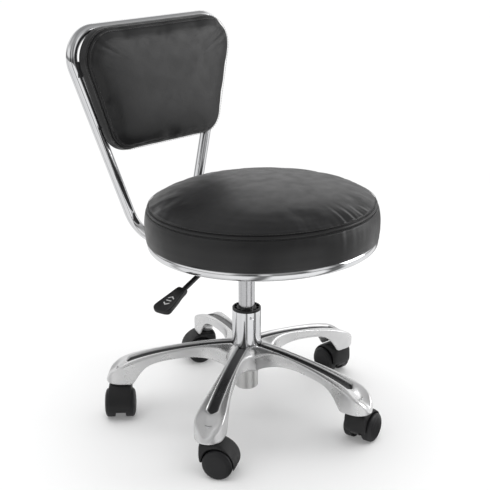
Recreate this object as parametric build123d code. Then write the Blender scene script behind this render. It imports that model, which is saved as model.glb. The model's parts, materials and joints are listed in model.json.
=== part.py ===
from build123d import *
import math
import os

# Rolling stylist stool with a backrest. Millimetres, +Z up.
# The origin lies on the floor under the gas column. A sitter faces -Y, the backrest
# is at +Y and the height lever is on the -X side.

# --- driving dimensions ---------------------------------------------------------
# five-arm cast base and casters
ARM_COUNT = 5
FIRST_ARM_DEG = -150.5       # bearing of the first arm, measured from +X
ARM_REACH = 222.5            # column axis to caster stem axis
SHOE_HALF = 24.5             # half width of an arm at its caster
SHOE_BOTTOM = 60.0           # underside of the arm's end
HUB_TOP = 131.0
HUB_BOTTOM = 84.0
CHANNEL_DEPTH = 5.0          # groove along the top of each arm
CAST_WALL = 3.5
WHEEL_R = 25.0
CASTER_TRAIL = 19.0          # stem axis to axle axis
HOOD_R = 28.0                # hood's back, about the axle
HOOD_HALF = 20.0             # half width of the hood
HOOD_WEB_HALF = 8.6          # half thickness of the hood's web between the wheels
WHEEL_INNER = 9.0            # wheel faces, from the caster's mid plane
WHEEL_TREAD_END = 20.6
WHEEL_OUTER = 27.0
AXLE_Z = WHEEL_R
AXLE_R = 3.0
STEM_R = 5.5
STEM_BORE_R = 7.5            # bore of the arm's boss, round the stem's sleeve
# gas column
COLUMN_R = 25.0
COLUMN_TOP = 191.6
COLUMN_BOTTOM = 45.6
COLUMN_FOOT_R = 20.0
COLLAR_TOP = 195.6
PRESSURE_R = 14.0            # inner pressure tube
PRESSURE_BOTTOM = 113.0
PRESSURE_TOP = 289.0
TAPER_START = 246.0
TAPER_TOP_R = 13.2
ROD_R = 5.0
RUNNING = 0.05               # radial running clearance
# seat frame, in the seat's own raked plane
RAKE = 1.8                   # degrees, front higher
RING_Z = 329.0               # tube centre of the seat ring above the column axis
SEAT_Y = -37.5               # ring centre, forward of the column
RING_R = 182.4
TUBE_R = 9.5
TUBE_WALL = 1.5
BAR_T = 5.0                  # cross bars under the ring
PLATE_T = 3.0                # mechanism plate
LEG_X = 66.0                 # back frame legs
LEG_START_Y = 18.0
BEND_Y = 211.0
LEG_BEND_R = 46.0
TOP_CORNER = (184.6, 233.8, 336.5)
TOP_BEND_R = 46.0
# seat cushion, heights above the ring's tube centre
COVER_T = 1.2
CUSHION_R = 194.7
SEAM_R = 188.7
SEAM_H = 63.0
CROWN_H = 97.0
BOARD_T = 12.0
BOARD_R = 178.0
GAP = 0.1                    # between parts that lie against each other
SEAT_BOLT_X = 40
REAR_BOLT_Y = 75
BOLT_HOLE_R = 3.3
# backrest pad, in the plane of the back loop
BACK_LEAN = 5.5              # degrees
BACK_Y = 212.6
BACK_Z = 330.0
PAD_TOP = 331.0
PAD_BOTTOM = 124.0
PAD_TOP_HALF = 178.0
PAD_BOTTOM_HALF = 118.0
PAD_TOP_CORNER = 52.0
PAD_BOTTOM_CORNER = 42.0
PAD_BACK = 9.9               # pad's back face, forward of the loop's centre plane
PAD_CROWN = 42.0
STRAP_T = 3.0                # bars between the loop's sides
STRAP_HALF = 13.0
STRAP_HEIGHTS = (176, 268)
BACK_BOLT_X = 85
# lever
LEVER_Z = 300.0
PIVOT_X = -26.0
LEVER_YAW = 12.4             # degrees forward of -X
LEVER_DROP = 14.5            # degrees below the horizontal after its bend
LEVER_BEND = 118.0           # bend, from the column axis
LEVER_END = 81.0             # from the bend to the rod's tip, inside the handle
LEVER_R = 4.0
HANDLE_ROOT = 22.0           # handle's ends along the rod, from the rod's tip
HANDLE_END = -42.0
HANDLE_ROOT_HALF = 8.0
HANDLE_END_HALF = 17.0
HANDLE_T = 12.0
PIN_R = 2.5                  # valve release pin

# levels that follow from them, above the ring's tube centre
BAR_TOP = -TUBE_R - GAP
PLATE_TOP = BAR_TOP - BAR_T - GAP
PLATE_BOTTOM = PLATE_TOP - PLATE_T
LEG_Z = PLATE_BOTTOM - GAP - TUBE_R
BOARD_Z0 = TUBE_R + 0.4 + COVER_T + GAP
BACK_BOARD_Z0 = PAD_BACK + COVER_T + GAP     # forward of the loop's centre plane
BACK_BOARD_T = 9.0
SEAT_BOLTS = [(x, y) for x in (-SEAT_BOLT_X, SEAT_BOLT_X) for y in (SEAT_Y, REAR_BOLT_Y)]
BACK_BOLTS = [(x, z) for z in STRAP_HEIGHTS for x in (-BACK_BOLT_X, BACK_BOLT_X)]

BOTTOM = (Align.CENTER, Align.CENTER, Align.MIN)
SEAT = Location((0, 0, RING_Z), (-RAKE, 0, 0))
BACK = Location((0, BACK_Y, BACK_Z), (-BACK_LEAN, 0, 0))
LEVER_YAW_LOC = Location((PIVOT_X, 0, LEVER_Z), (0, 0, LEVER_YAW))


def rod(radius, z0, z1, x=0.0, y=0.0):
    return Pos(x, y, z0) * Cylinder(radius, z1 - z0, align=BOTTOM)


def tube(outer, inner, z0, z1, x=0.0, y=0.0):
    return rod(outer, z0, z1, x, y) - rod(inner, z0 - 1, z1 + 1, x, y)


def box(x0, x1, y0, y1, z0, z1):
    size = Box(x1 - x0, y1 - y0, z1 - z0)
    return Pos((x0 + x1) / 2, (y0 + y1) / 2, (z0 + z1) / 2) * size


def turned(points):
    """Solid of revolution about Z from (radius, height) points."""
    return revolve(Plane.XZ * make_face(Polyline(*points, close=True)), Axis.Z)


def cross_rod(radius, x0, x1, y, z):
    """Cylinder along X."""
    return Pos((x0 + x1) / 2, y, z) * Rot(0, 90, 0) * Cylinder(radius, x1 - x0)


def save(name, shape):
    export_step(shape, f"parts/{name}.step")


# --- cast base -------------------------------------------------------------------
ARM_TOP = [(20, 131), (75, 127), (120, 121), (162, 113), (198, 103), (218, 94.5),
           (234, 84), (243, 72), (247, SHOE_BOTTOM)]
ARM_UNDER = [(198, SHOE_BOTTOM), (193, 73), (181, 90), (162, 98.8), (134, 102.7),
             (101, 106), (64, 103), (38, 93), (20, HUB_BOTTOM)]
ARM_HALF = [(15, 19), (40, 14.5), (70, 12.8), (105, 13.4), (145, 16.2), (185, 21.4),
            (207, 24.0), (ARM_REACH, SHOE_HALF)]


def arm_side(lowered, start):
    """Side outline of an arm, its top lowered by the given depth."""
    top = Spline(*[(x, z - lowered) for x, z in ARM_TOP])
    edges = [top, Line(top @ 1, (ARM_TOP[-1][0], 20)), Line((ARM_TOP[-1][0], 20), (start, 20)),
             Line((start, 20), top @ 0)]
    return extrude(Plane.XZ * make_face(edges), amount=60, both=True)


def arm_body():
    top = Spline(*ARM_TOP)
    under = Spline(*ARM_UNDER)
    edges = [top, Line(top @ 1, under @ 0), under, Line(under @ 1, top @ 0)]
    return extrude(Plane.XZ * make_face(edges), amount=60, both=True)


def arm_plan(inset, start_index):
    """Plan outline of an arm, its sides moved in by the given distance."""
    points = ARM_HALF[start_index:]
    left = Spline(*[(x, w - inset) for x, w in points])
    right = Spline(*[(x, inset - w) for x, w in points])
    end = ThreePointArc(left @ 1, (ARM_REACH + SHOE_HALF - inset, 0), right @ 1)
    face = make_face([left, end, right, Line(left @ 0, right @ 0)])
    return extrude(face, amount=200)


def channel_plan():
    half = 7.5
    outline = Polyline((24, -half), (185, -half - 1.5), (210, 0), (185, half + 1.5), (24, half),
                       close=True)
    return extrude(make_face(outline), amount=200)


def base_arm():
    arm = arm_body() & arm_plan(0, 0)
    channel = channel_plan() - arm_side(CHANNEL_DEPTH, 20)
    arm -= channel
    hollow = arm_plan(CAST_WALL, 2) & arm_side(CHANNEL_DEPTH + CAST_WALL, 20)
    arm -= hollow
    arm += rod(STEM_BORE_R + 3, SHOE_BOTTOM, 90, ARM_REACH)
    return arm - rod(STEM_BORE_R, 50, 84.5, ARM_REACH)


def base_star():
    hub = turned([(10, HUB_TOP), (27, HUB_TOP - 2), (40, 124), (44, 118), (42, 100), (33, HUB_BOTTOM),
                  (10, HUB_BOTTOM)])
    arm = base_arm() - rod(20, 40, 200)
    star = hub
    for bearing in arm_bearings():
        star += Rot(0, 0, bearing) * arm
    for bearing in arm_bearings():
        groove = channel_plan() & box(20, 60, -12, 12, 0, 200)
        star -= Rot(0, 0, bearing) * (groove - arm_side(CHANNEL_DEPTH, 20))
    bore = turned([(0, HUB_BOTTOM - 20), (24.23, HUB_BOTTOM - 20), (24.23, HUB_BOTTOM), (25.03, 125),
                   (25.03, 140), (0, 140)])
    return star - bore


def arm_bearings():
    return [FIRST_ARM_DEG + 360 / ARM_COUNT * k for k in range(ARM_COUNT)]


def caster_sleeves():
    sleeve = tube(STEM_BORE_R - 0.03, STEM_R + RUNNING, SHOE_BOTTOM, 84, ARM_REACH)
    sleeve += tube(9.5, STEM_R + RUNNING, SHOE_BOTTOM - 0.6, SHOE_BOTTOM, ARM_REACH)
    return Compound(children=[Rot(0, 0, bearing) * sleeve for bearing in arm_bearings()])


# --- caster, built at the arm along +X, trailing towards +Y ------------------------
def hood_rim(angle):
    """Point on the hood's back at an angle about the axle, measured from +Y."""
    return (CASTER_TRAIL + HOOD_R * math.cos(angle), AXLE_Z + HOOD_R * math.sin(angle))


def caster_hood():
    front = -13.6
    top = 59.0
    shoulder = 4
    foot_z = 9
    arc_start = hood_rim(math.radians(58))
    arc_mid = hood_rim(0.4)
    arc_end = hood_rim(math.radians(-16))
    edges = [Line((front, AXLE_Z + 1), (front, top - shoulder)),
             ThreePointArc((front, top - shoulder), (front + 1.2, top - 1.2), (front + shoulder, top)),
             Line((front + shoulder, top), (12, top)),
             ThreePointArc((12, top), (24.5, 56.2), arc_start),
             ThreePointArc(arc_start, arc_mid, arc_end),
             Line(arc_end, (30, foot_z)), Line((30, foot_z), (10, foot_z)),
             Line((10, foot_z), (front, AXLE_Z + 1))]
    hood = extrude(Plane.YZ * make_face(edges), amount=HOOD_HALF, both=True)
    for side in (-1, 1):
        x0, x1 = sorted((side * HOOD_WEB_HALF, side * (HOOD_HALF + 1)))
        hood -= cross_rod(WHEEL_R + 1.2, x0, x1, CASTER_TRAIL, AXLE_Z)
        hood -= box(x0, x1, -20, 60, 0, 17.2)
        hood -= box(x0, x1, -20, CASTER_TRAIL, 0, AXLE_Z + 1)
    hood -= rod(STEM_R + 0.02, 44, 70)
    return hood - cross_rod(AXLE_R + 0.02, -20, 20, CASTER_TRAIL, AXLE_Z)


def caster_stem():
    stem = rod(STEM_R, 44.2, 83)
    stem += rod(8.5, 59.02, SHOE_BOTTOM - 0.62)
    neck = tube(STEM_R + 1, STEM_R - 0.8, 76, 78)
    return chamfer((stem - neck).edges().group_by(Axis.Z)[-1], 1.2)


def caster_axle():
    return cross_rod(AXLE_R, -24, 24, CASTER_TRAIL, AXLE_Z)


def caster_wheel(side):
    """Wheel with a recess in its inner face and a domed outer face; side is +1 or -1 along the axle."""
    bore = AXLE_R + RUNNING + 0.01
    hub_r = 7
    recess_r = 21.5
    recess_depth = 18.5
    outline = [(bore, WHEEL_INNER), (hub_r, WHEEL_INNER), (hub_r, recess_depth), (recess_r, recess_depth),
               (recess_r, WHEEL_INNER + 0.6), (WHEEL_R - 0.6, WHEEL_INNER + 0.6),
               (WHEEL_R, WHEEL_INNER + 1.4), (WHEEL_R, WHEEL_TREAD_END + 0.8),
               (24.3, 23.0), (21.8, 24.9), (17.0, 26.3), (9.0, WHEEL_OUTER), (0, WHEEL_OUTER),
               (0, 24.4), (bore, 24.4)]
    return Pos(0, CASTER_TRAIL, AXLE_Z) * Rot(0, 90 * side, 0) * turned(outline)


# --- gas column --------------------------------------------------------------------
def gas_outer_tube():
    wall = 1.5
    inner = COLUMN_R - wall
    foot_in = COLUMN_FOOT_R - wall
    return turned([(ROD_R + 0.4, COLUMN_BOTTOM), (COLUMN_FOOT_R - 1, COLUMN_BOTTOM),
                   (COLUMN_FOOT_R, COLUMN_BOTTOM + 1), (COLUMN_FOOT_R, HUB_BOTTOM - 3),
                   (24.2, HUB_BOTTOM), (COLUMN_R, 125), (COLUMN_R, COLUMN_TOP), (inner, COLUMN_TOP),
                   (inner, 125), (22.6, HUB_BOTTOM), (foot_in, HUB_BOTTOM - 3), (foot_in, 49.6),
                   (ROD_R + 0.4, 49.6)])


def guide_bush():
    inner = PRESSURE_R + RUNNING
    seat = COLUMN_TOP + 0.05
    bush = turned([(inner, 140), (23.45, 140), (23.45, seat), (COLUMN_R - 0.2, seat),
                   (COLUMN_R - 0.2, COLLAR_TOP - 0.8), (COLUMN_R - 1, COLLAR_TOP), (22, COLLAR_TOP),
                   (22, COLLAR_TOP - 4.5), (17.2, COLLAR_TOP - 4.5), (17.2, COLLAR_TOP - 0.6),
                   (inner + 0.8, COLLAR_TOP - 0.6), (inner, COLLAR_TOP - 1.4)])
    rib = box(17, 22.2, -0.7, 0.7, COLLAR_TOP - 4.6, COLLAR_TOP - 0.9)
    for k in range(12):
        bush += Rot(0, 0, 15 + 30 * k) * rib
    return bush


def thrust_balls():
    ball = Pos(9.5, 0, 53.4) * Sphere(1.5)
    return Compound(children=[Rot(0, 0, 36 * k) * ball for k in range(10)])


def pressure_tube():
    wall = 1.5
    foot = PRESSURE_BOTTOM
    return turned([(PRESSURE_R - wall, foot), (PRESSURE_R, foot), (PRESSURE_R, TAPER_START),
                   (TAPER_TOP_R, PRESSURE_TOP), (TAPER_TOP_R - wall, PRESSURE_TOP),
                   (PRESSURE_R - wall, TAPER_START)])


def valve_block():
    block = turned([(PIN_R + RUNNING, 264), (12.0, 264), (11.6, PRESSURE_TOP - 1),
                    (PIN_R + RUNNING, PRESSURE_TOP - 1)])
    return block


# --- seat mechanism ------------------------------------------------------------------
def cross_bars():
    """Flat bars with their ends turned up against the inside of the seat ring."""
    tube_space = Plane.XZ * (Pos(RING_R, 0) * Circle(TUBE_R + 0.05))
    tube_space = Pos(0, SEAT_Y, 0) * revolve(tube_space, Axis.Z)
    bars = []
    for y in (SEAT_Y, REAR_BOLT_Y):
        reach = math.sqrt((RING_R - 8) ** 2 - (y - SEAT_Y) ** 2)
        bar = box(-reach, reach, y - 12, y + 12, BAR_TOP - BAR_T, BAR_TOP)
        for end in (-reach, reach - BAR_T):
            bar += box(end, end + BAR_T, y - 12, y + 12, BAR_TOP - BAR_T, -2)
        bar -= tube_space
        for x in (-SEAT_BOLT_X, SEAT_BOLT_X):
            bar -= rod(BOLT_HOLE_R, -30, 0, x, y)
        bars.append(SEAT * bar)
    return Compound(children=bars)


def mechanism_plate():
    plate = box(-52, 52, -56, 11, PLATE_BOTTOM, PLATE_TOP)
    plate += box(-80, 80, 10, 95, PLATE_BOTTOM, PLATE_TOP)
    plate = fillet(plate.edges().filter_by(Axis.Z), 8)
    for x, y in SEAT_BOLTS:
        plate -= rod(BOLT_HOLE_R, -30, 0, x, y)
    return SEAT * plate


def at_pivot(piece):
    """Place a piece that is built about +Z on the lever's pivot axis."""
    return Pos(PIVOT_X, 0, LEVER_Z) * Rot(90, 0, 0) * piece


def mechanism_housing():
    length_half, outer, inner = 44, 29, 26
    bottom, floor_top = 262, 265
    walls = box(-length_half, length_half, -outer, -inner, bottom, 330)
    walls += box(-length_half, length_half, inner, outer, bottom, 330)
    floor = box(-length_half, length_half, -outer, outer, bottom, floor_top)
    hub = rod(PRESSURE_R + 4, 250, PRESSURE_TOP - 6)
    housing = walls + floor + hub
    fit = 0.03
    housing -= turned([(0, 240), (PRESSURE_R + fit, 240), (PRESSURE_R + fit, TAPER_START),
                       (TAPER_TOP_R + fit, PRESSURE_TOP), (0, PRESSURE_TOP)])
    housing -= SEAT * box(-90, 90, -90, 90, PLATE_BOTTOM - 0.02, 60)
    return housing - at_pivot(Cylinder(3.02, 80))


def lever_pivot_pin():
    return at_pivot(Cylinder(3.0, 64) + Pos(0, 0, 31) * Cylinder(5, 2))


def lever_points():
    """Rod axis in the lever's own frame, from the pivot outwards along -X."""
    out = LEVER_BEND + PIVOT_X
    drop = math.radians(LEVER_DROP)
    tip = (-out - LEVER_END * math.cos(drop), 0, -LEVER_END * math.sin(drop))
    return (0, 0, 0), (-out, 0, 0), tip


def lever_rod():
    path = FilletPolyline(*lever_points(), radius=30)
    run = sweep(Plane(origin=path @ 0, z_dir=path % 0) * Circle(LEVER_R), path=path)
    inner_end = Rot(0, 90, 0) * rod(LEVER_R, -1, 27)
    arm = Pos(PIVOT_X, 0, LEVER_Z) * inner_end + LEVER_YAW_LOC * run
    arm += at_pivot(Cylinder(6, 20))
    return arm - at_pivot(Cylinder(3.06, 40))


def lever_handle():
    """Flat paddle, wider outwards, with finger grooves below."""
    corner = 6
    root, end = HANDLE_ROOT, HANDLE_END
    outline = Polyline((root, -HANDLE_ROOT_HALF), (root, HANDLE_ROOT_HALF),
                       (end + corner, HANDLE_END_HALF), (end, HANDLE_END_HALF - corner),
                       (end, corner - HANDLE_END_HALF), (end + corner, -HANDLE_END_HALF), close=True)
    grip = Pos(0, 0, -HANDLE_T / 2) * extrude(make_face(outline), amount=HANDLE_T)
    for x in (-30, -14, 2):
        grip -= Pos(x, 0, -15) * Rot(90, 0, 0) * Cylinder(11.5, 60)
    grip -= Rot(0, 90, 0) * rod(LEVER_R + 0.02, -0.1, 80)
    tip = Location(lever_points()[-1], (0, -LEVER_DROP, 0))
    return LEVER_YAW_LOC * tip * grip


# --- seat and back frames ---------------------------------------------------------
def seat_ring():
    section = Plane.XZ * (Pos(RING_R, 0) * (Circle(TUBE_R) - Circle(TUBE_R - TUBE_WALL)))
    return SEAT * Pos(0, SEAT_Y, 0) * revolve(section, Axis.Z)


def back_path():
    x, y, z = TOP_CORNER
    points = [(-LEG_X, LEG_START_Y, LEG_Z), (-LEG_X, BEND_Y, LEG_Z), (-x, y, z), (x, y, z),
              (LEG_X, BEND_Y, LEG_Z), (LEG_X, LEG_START_Y, LEG_Z)]
    return FilletPolyline(*points, radius=[LEG_BEND_R, TOP_BEND_R, TOP_BEND_R, LEG_BEND_R])


def back_frame():
    path = back_path()
    section = Plane(origin=path @ 0, z_dir=path % 0) * (Circle(TUBE_R) - Circle(TUBE_R - TUBE_WALL))
    return SEAT * sweep(section, path=path)


def leg_plugs():
    """Plastic plugs in the open front ends of the legs."""
    plugs = []
    for x in (-LEG_X, LEG_X):
        cap = Rot(90, 0, 0) * Cylinder(TUBE_R, 2.5)
        stem = Rot(90, 0, 0) * Cylinder(TUBE_R - TUBE_WALL - 0.03, 12)
        plug = Pos(x, LEG_START_Y - 1.3, LEG_Z) * cap + Pos(x, LEG_START_Y + 5.5, LEG_Z) * stem
        plugs.append(SEAT * plug)
    return Compound(children=plugs)


# --- seat cushion -------------------------------------------------------------------
def cushion_outline(inset):
    """Half section of the cushion as an edge list, moved in by the given distance."""
    under = TUBE_R + 0.4 + inset
    groove = TUBE_R + 0.35 + inset
    angle = math.radians(30 + 12 * inset)
    lip = (RING_R + groove * math.cos(angle), groove * math.sin(angle))
    side = (CUSHION_R - inset, 27)
    seam = (SEAM_R - inset, SEAM_H - inset * 0.6)
    crown = (0, CROWN_H - inset)
    top_of_groove = (RING_R, groove)
    half_way = (math.pi / 2 + angle) / 2
    mid = (RING_R + groove * math.cos(half_way), groove * math.sin(half_way))
    return [Line((0, under), (RING_R - 4, under)), Line((RING_R - 4, under), top_of_groove),
            ThreePointArc(top_of_groove, mid, lip),
            Spline(lip, side, seam, tangents=((1, 0.5), (-0.5, 1)), tangent_scalars=(0.7, 0.7)),
            Spline(seam, (SEAM_R * 0.55, SEAM_H + (CROWN_H - SEAM_H) * 0.74 - inset), crown,
                   tangents=((-0.6, 0.8), (-1, 0))),
            Line(crown, (0, under))]


def cushion_solid(inset):
    return Pos(0, SEAT_Y, 0) * revolve(Plane.XZ * make_face(cushion_outline(inset)), Axis.Z)


def seat_board():
    board = rod(BOARD_R, BOARD_Z0, BOARD_Z0 + BOARD_T, 0, SEAT_Y)
    for x, y in SEAT_BOLTS:
        board -= rod(4.5, 0, 60, x, y)
    return SEAT * board


def seat_foam():
    foam = cushion_solid(COVER_T + 0.1)
    foam -= rod(BOARD_R + 0.1, 0, BOARD_Z0 + BOARD_T + 0.1, 0, SEAT_Y)
    for x, y in SEAT_BOLTS:
        foam -= rod(9.6, 0, BOARD_Z0 + BOARD_T + 2.2, x, y)
    return SEAT * foam


def seat_cover():
    cover = cushion_solid(0) - cushion_solid(COVER_T)
    cover -= rod(150, -20, BOARD_Z0, 0, SEAT_Y)
    return SEAT * cover


def dust_cover():
    sheet = rod(148, BOARD_Z0 - 1.0, BOARD_Z0 - 0.1, 0, SEAT_Y)
    for x, y in SEAT_BOLTS:
        sheet -= rod(8.2, 0, 30, x, y)
    return SEAT * sheet


def seat_spacers():
    spacer = tube(8, BOLT_HOLE_R, -TUBE_R, BOARD_Z0 - GAP)
    return Compound(children=[SEAT * Pos(x, y, 0) * spacer for x, y in SEAT_BOLTS])


def screw(length):
    """M6 socket screw with the underside of its head at the origin, pointing up."""
    head = fillet(rod(5.5, -4, 0).edges().group_by(Axis.Z)[0], 1.2)
    head -= Pos(0, 0, -4.1) * extrude(RegularPolygon(2.5, 6), amount=2.4)
    return head + rod(2.95, -0.2, length)


def mounting_screws():
    """Four screws up into the seat board and four forward into the backrest board."""
    under_plate = PLATE_BOTTOM - 0.05
    seat_screw = screw(BOARD_Z0 + 11 - under_plate)
    screws = [SEAT * Pos(x, y, under_plate) * seat_screw for x, y in SEAT_BOLTS]
    behind_strap = TUBE_R - STRAP_T - 0.05
    back_screw = Rot(90, 0, 0) * screw(BACK_BOARD_Z0 + 8 - behind_strap)
    screws += [BACK * Pos(x, -behind_strap, z) * back_screw for x, z in BACK_BOLTS]
    return Compound(children=screws)


def t_nut(face):
    """T-nut with its flange on a board's far face."""
    bore = 3.0
    return tube(4.45, bore, face - 9, face + GAP) + tube(9, bore, face + GAP, face + 1.4)


def t_nuts():
    """T-nuts in the seat board and in the backrest board."""
    nuts = [SEAT * Pos(x, y, 0) * t_nut(BOARD_Z0 + BOARD_T) for x, y in SEAT_BOLTS]
    turned_nut = Rot(90, 0, 0) * t_nut(BACK_BOARD_Z0 + BACK_BOARD_T)
    nuts += [BACK * Pos(x, 0, z) * turned_nut for x, z in BACK_BOLTS]
    return Compound(children=nuts)


# --- backrest pad --------------------------------------------------------------------
def pad_outline(inset):
    """Trapezoid with round corners in the loop's plane: local X across, Y up."""
    slope = (PAD_TOP_HALF - PAD_BOTTOM_HALF) / (PAD_TOP - PAD_BOTTOM)
    shift = inset * (math.hypot(1, slope) - slope)
    top_half = PAD_TOP_HALF - shift
    bottom_half = PAD_BOTTOM_HALF - inset * (math.hypot(1, slope) + slope) + 2 * slope * inset
    top = PAD_TOP - inset
    bottom = PAD_BOTTOM + inset
    outline = make_face(Polyline((-top_half, top), (top_half, top), (bottom_half, bottom),
                                 (-bottom_half, bottom), close=True))
    corners = outline.vertices().sort_by(Axis.Y)
    outline = fillet(corners[2:], PAD_TOP_CORNER - inset)
    lower = outline.vertices().group_by(Axis.Y)[0]
    return fillet(lower, PAD_BOTTOM_CORNER - inset)


PAD_PLANE = Plane(origin=(0, 0, 0), x_dir=(1, 0, 0), z_dir=(0, -1, 0))


def pad_solid(inset, back, front):
    """Pad from its back face to its front, with its front edge drawn in to the crown."""
    block = extrude(PAD_PLANE * pad_outline(inset), amount=front)
    block -= extrude(PAD_PLANE * pad_outline(inset - 3), amount=back)
    rim = block.faces().sort_by(Axis.Y)[0].edges()
    return fillet(rim, 11)


def back_hole(radius, y0, y1, x, z):
    """Cylinder across the pad; y0 and y1 are distances forward of the loop's plane."""
    return Pos(x, -(y0 + y1) / 2, z) * Rot(90, 0, 0) * Cylinder(radius, y1 - y0)


def backrest_board():
    board = extrude(PAD_PLANE * pad_outline(5), amount=BACK_BOARD_Z0 + BACK_BOARD_T)
    board -= extrude(PAD_PLANE * pad_outline(0), amount=BACK_BOARD_Z0)
    for x, z in BACK_BOLTS:
        board -= back_hole(4.5, 0, 40, x, z)
    return BACK * board


def backrest_foam():
    foam = pad_solid(COVER_T + 0.1, BACK_BOARD_Z0, PAD_CROWN - COVER_T - 0.1)
    foam -= extrude(PAD_PLANE * pad_outline(4.9), amount=BACK_BOARD_Z0 + BACK_BOARD_T + GAP)
    for x, z in BACK_BOLTS:
        foam -= back_hole(9.6, 0, BACK_BOARD_Z0 + 11, x, z)
    return BACK * foam


def backrest_cover():
    cover = pad_solid(0, PAD_BACK, PAD_CROWN)
    cover -= pad_solid(COVER_T, PAD_BACK + COVER_T, PAD_CROWN - COVER_T)
    for x, z in BACK_BOLTS:
        cover -= back_hole(3.4, 0, PAD_BACK + COVER_T + 1, x, z)
    return BACK * cover


def back_straps():
    """Two flat bars welded between the loop's sides, flush with the tube's front."""
    path = back_path()
    loop = SEAT * sweep(Plane(origin=path @ 0, z_dir=path % 0) * Circle(TUBE_R + 0.05), path=path)
    straps = []
    for z in STRAP_HEIGHTS:
        half = 76.4 + 0.329 * z      # beyond the tube's centre line, cut back to the loop
        strap = box(-half, half, -TUBE_R, STRAP_T - TUBE_R, z - STRAP_HALF, z + STRAP_HALF)
        for x in (-BACK_BOLT_X, BACK_BOLT_X):
            strap -= back_hole(BOLT_HOLE_R, 0, 20, x, z)
        straps.append(BACK * strap - loop)
    return Compound(children=straps)


# --- write every node ----------------------------------------------------------------
os.makedirs("parts", exist_ok=True)

save("base_star", base_star())
save("caster_sleeves", caster_sleeves())
save("gas_outer_tube", gas_outer_tube())
save("guide_bush", guide_bush())
save("bearing_lower_race", tube(13, ROD_R + 0.4, 49.7, 51.8))
save("bearing_balls", thrust_balls())

save("bearing_upper_race", tube(13, ROD_R + 0.03, 55.0, 57.0))
piston_rod = rod(ROD_R, 42.6, 178) - tube(ROD_R + 1, ROD_R - 1, 43.6, 44.8)
save("piston_rod", piston_rod)
save("rod_clip", tube(8, ROD_R - 0.98, 43.65, 44.75))
save("bump_stop", tube(9.5, ROD_R + 0.03, 57.1, 64))
save("piston_head", tube(PRESSURE_R - 1.5 - RUNNING, ROD_R + 0.02, 170, 177.9))

save("pressure_tube", pressure_tube())
save("rod_seal", tube(PRESSURE_R - 1.52, ROD_R + RUNNING, PRESSURE_BOTTOM + 0.2, PRESSURE_BOTTOM + 16))
save("valve_block", valve_block())
save("mechanism_housing", mechanism_housing())
save("mechanism_plate", mechanism_plate())
save("lever_pivot_pin", lever_pivot_pin())
save("cross_bars", cross_bars())
save("seat_ring", seat_ring())
save("back_frame", back_frame())
save("back_straps", back_straps())
save("leg_plugs", leg_plugs())
save("seat_board", seat_board())
save("seat_foam", seat_foam())
save("seat_cover", seat_cover())
save("dust_cover", dust_cover())
save("seat_spacers", seat_spacers())
save("mounting_screws", mounting_screws())
save("t_nuts", t_nuts())
save("backrest_board", backrest_board())
save("backrest_foam", backrest_foam())
save("backrest_cover", backrest_cover())

save("release_pin", rod(PIN_R, 270, LEVER_Z - 4.4))
save("lever_rod", lever_rod())
save("lever_handle", lever_handle())

for k, bearing in enumerate(arm_bearings(), start=1):
    place = Rot(0, 0, bearing) * Pos(ARM_REACH, 0, 0)
    save(f"caster_{k}_hood", place * caster_hood())
    save(f"caster_{k}_stem", place * caster_stem())
    save(f"caster_{k}_axle", place * caster_axle())
    save(f"caster_{k}_wheel_in", place * caster_wheel(-1))
    save(f"caster_{k}_wheel_out", place * caster_wheel(1))
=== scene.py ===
import json
import math

import bmesh
import bpy
import numpy as np
from mathutils import Matrix, Vector
from mathutils.kdtree import KDTree


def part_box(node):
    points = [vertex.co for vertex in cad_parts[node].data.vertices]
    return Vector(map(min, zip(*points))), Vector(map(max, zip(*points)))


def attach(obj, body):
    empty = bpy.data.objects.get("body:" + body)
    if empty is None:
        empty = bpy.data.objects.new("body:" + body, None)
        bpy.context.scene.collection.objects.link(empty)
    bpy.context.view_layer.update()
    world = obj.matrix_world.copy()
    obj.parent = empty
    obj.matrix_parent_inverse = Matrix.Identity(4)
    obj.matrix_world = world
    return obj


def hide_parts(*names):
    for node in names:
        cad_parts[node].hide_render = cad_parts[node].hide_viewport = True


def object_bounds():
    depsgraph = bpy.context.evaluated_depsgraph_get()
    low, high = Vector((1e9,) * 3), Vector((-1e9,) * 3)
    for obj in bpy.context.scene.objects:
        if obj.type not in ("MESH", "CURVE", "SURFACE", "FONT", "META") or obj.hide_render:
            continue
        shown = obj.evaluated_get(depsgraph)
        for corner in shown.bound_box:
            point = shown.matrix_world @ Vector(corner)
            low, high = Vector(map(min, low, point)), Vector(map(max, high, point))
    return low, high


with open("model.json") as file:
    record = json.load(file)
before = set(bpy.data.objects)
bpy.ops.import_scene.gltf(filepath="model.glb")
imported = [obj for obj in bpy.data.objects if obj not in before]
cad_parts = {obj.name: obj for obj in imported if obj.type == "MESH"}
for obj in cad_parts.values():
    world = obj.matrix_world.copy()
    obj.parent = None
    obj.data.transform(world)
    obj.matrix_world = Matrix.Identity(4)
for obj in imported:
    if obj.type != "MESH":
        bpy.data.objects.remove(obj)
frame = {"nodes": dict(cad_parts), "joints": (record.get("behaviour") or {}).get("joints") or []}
CAD_LOW, CAD_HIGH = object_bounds()

# Looks of a rolling stylist stool. Shapes are written in millimetres and scaled to
# metres when a mesh is made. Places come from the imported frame.
MM = 0.001
JOINTS = {joint["name"]: joint for joint in frame["joints"]}


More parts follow.
